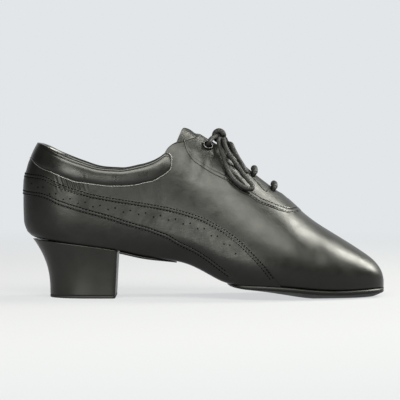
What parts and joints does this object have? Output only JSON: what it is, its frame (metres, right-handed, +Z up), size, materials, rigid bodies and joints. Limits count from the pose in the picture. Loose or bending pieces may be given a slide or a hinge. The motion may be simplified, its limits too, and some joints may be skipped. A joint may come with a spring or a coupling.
{
  "type": "ballroom dance shoe",
  "caption": "Men's Latin dance shoe in black leather with a padded collar, laced facing, stitched wing band, split sole and hollow-backed heel",
  "frame": {"origin": "middle of the flat bottom face of the heel, on the floor", "axes": "+X from heel to toe, +Y to the inner side of the right foot, +Z up"},
  "size_m": [0.283, 0.0947, 0.1326],
  "materials": {
    "upper_leather": "smooth black calf leather with a soft sheen",
    "collar_leather": "soft black leather over padding",
    "lining": "matte black lining and sock",
    "sole": "black suede-faced dance sole with a trimmed, waxed edge",
    "heel_cover": "semi-matte black leather-covered heel",
    "top_piece": "black rubber wearing layer",
    "eyelet_metal": "dark gunmetal",
    "lace": "round braided black cord"
  },
  "bodies": {
    "root": {"upper": "upper_leather", "facing": "upper_leather", "wing_band": "upper_leather", "collar": "collar_leather", "tongue": "upper_leather", "insole": "lining", "forefoot_sole": "sole", "waist_sole": "sole", "heel": "heel_cover", "heel_top_piece": "top_piece", "eyelet_outer": "eyelet_metal", "eyelet_inner": "eyelet_metal", "lace_bar_1": "lace", "lace_bar_2": "lace", "lace_bar_3": "lace", "lace_knot": "lace", "lace_loop_outer": "lace", "lace_loop_inner": "lace", "lace_end_outer": "lace", "lace_end_inner": "lace"}
  },
  "joints": []
}
